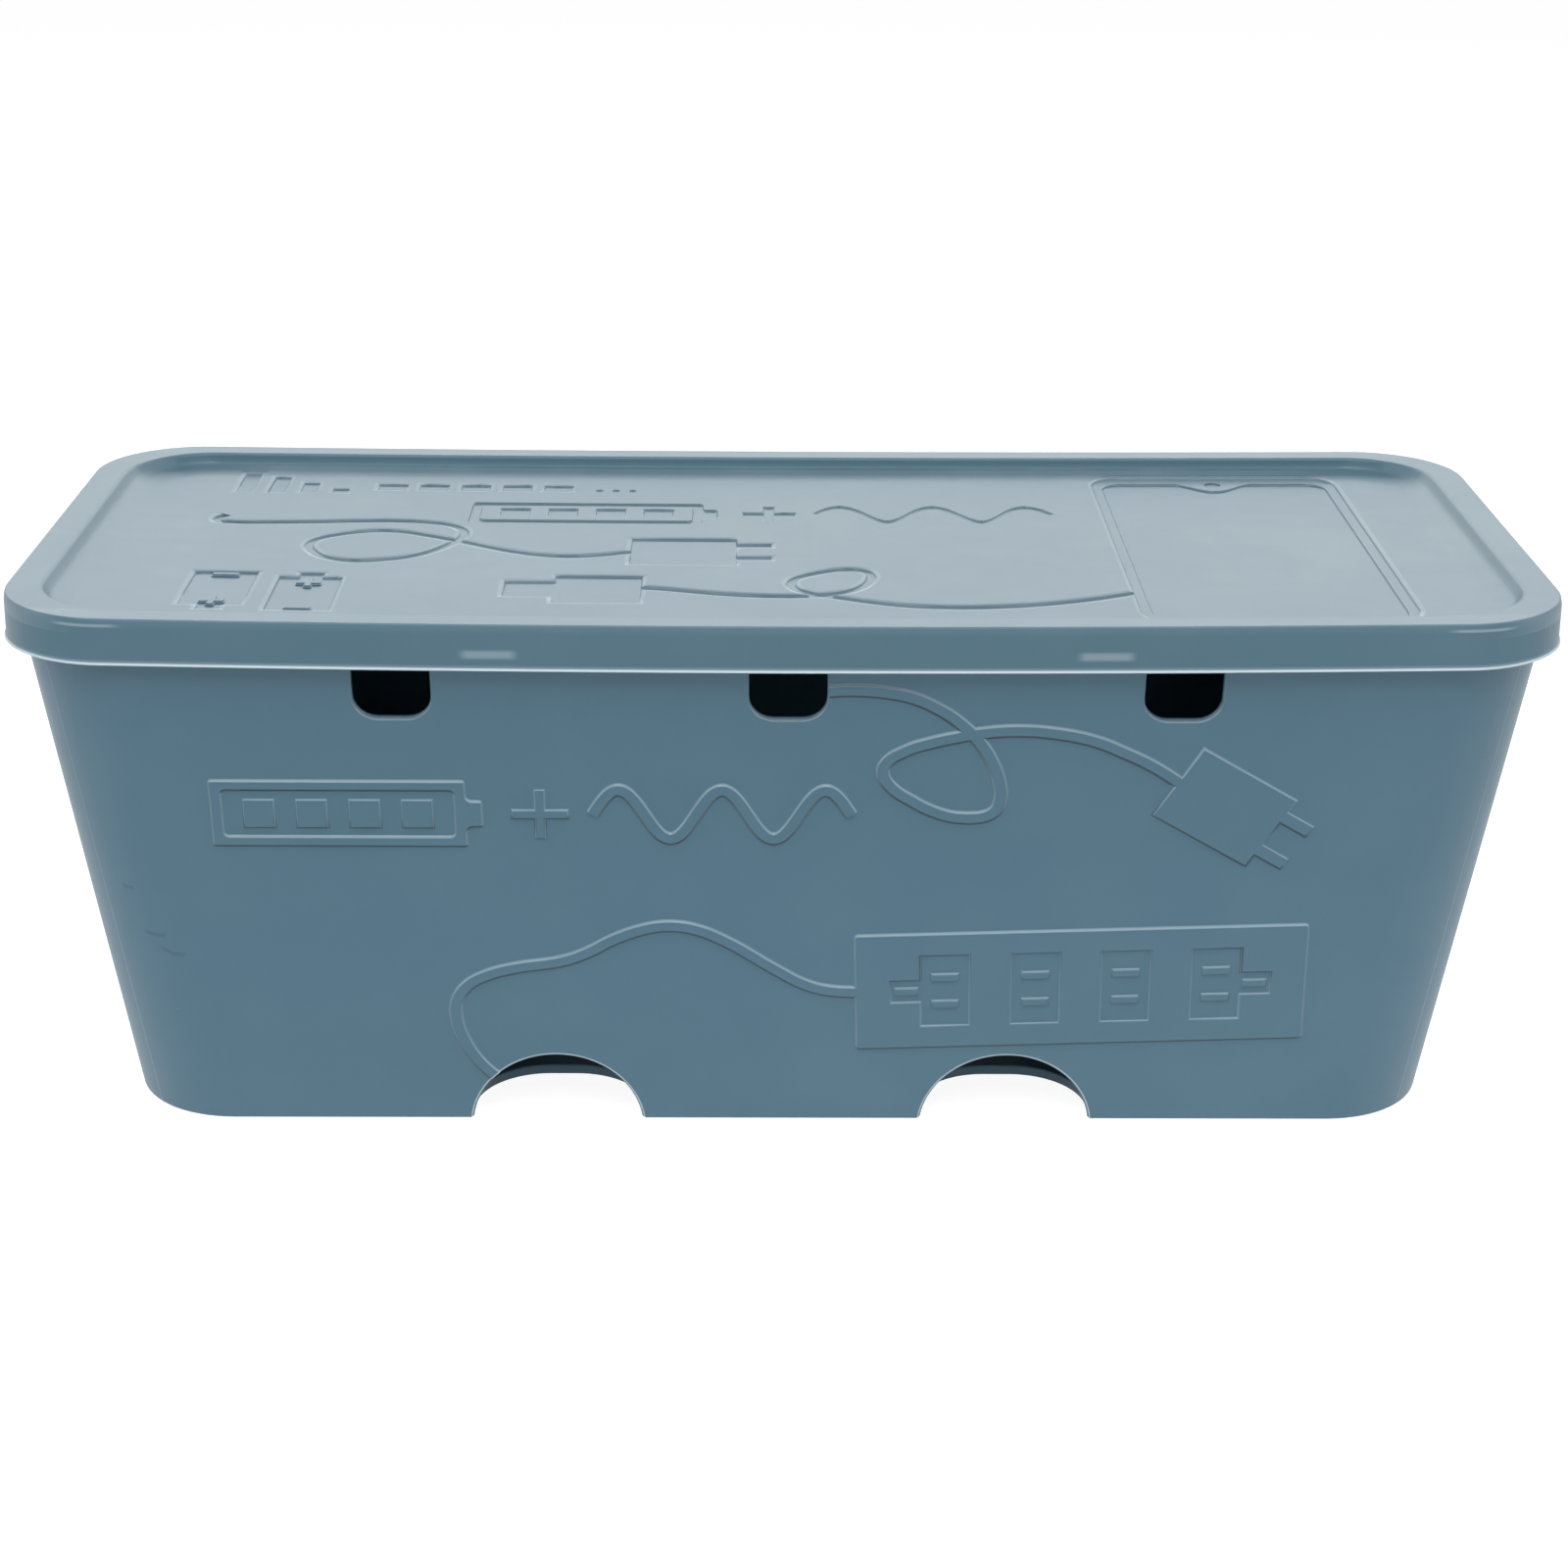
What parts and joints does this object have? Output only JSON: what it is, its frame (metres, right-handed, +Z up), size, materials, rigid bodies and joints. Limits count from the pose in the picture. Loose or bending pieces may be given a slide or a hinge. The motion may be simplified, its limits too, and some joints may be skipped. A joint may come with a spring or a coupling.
{
  "type": "cable management box",
  "caption": "Tapered rectangular box with cable slots and base arches in its long walls and a lift-off lid with a sunk panel, for hiding a power strip and its leads.",
  "frame": {"origin": "middle of the underside of the tub, on the surface that it stands on", "axes": "+X along the long side, +Y from the front to the back, +Z up; the front with the raised figures faces -Y"},
  "size_m": [0.325, 0.135, 0.122],
  "materials": {
    "blue_grey_plastic": "semi-matte moulded polypropylene, blue-grey, with a soft sheen"
  },
  "bodies": {
    "tub": {"tub": "blue_grey_plastic"},
    "lid": {"lid": "blue_grey_plastic"}
  },
  "joints": [
    {"name": "lid_lift", "type": "slide", "parent": "tub", "child": "lid", "axis": [0, 0, 1], "range_m": [0, 0.15]}
  ]
}
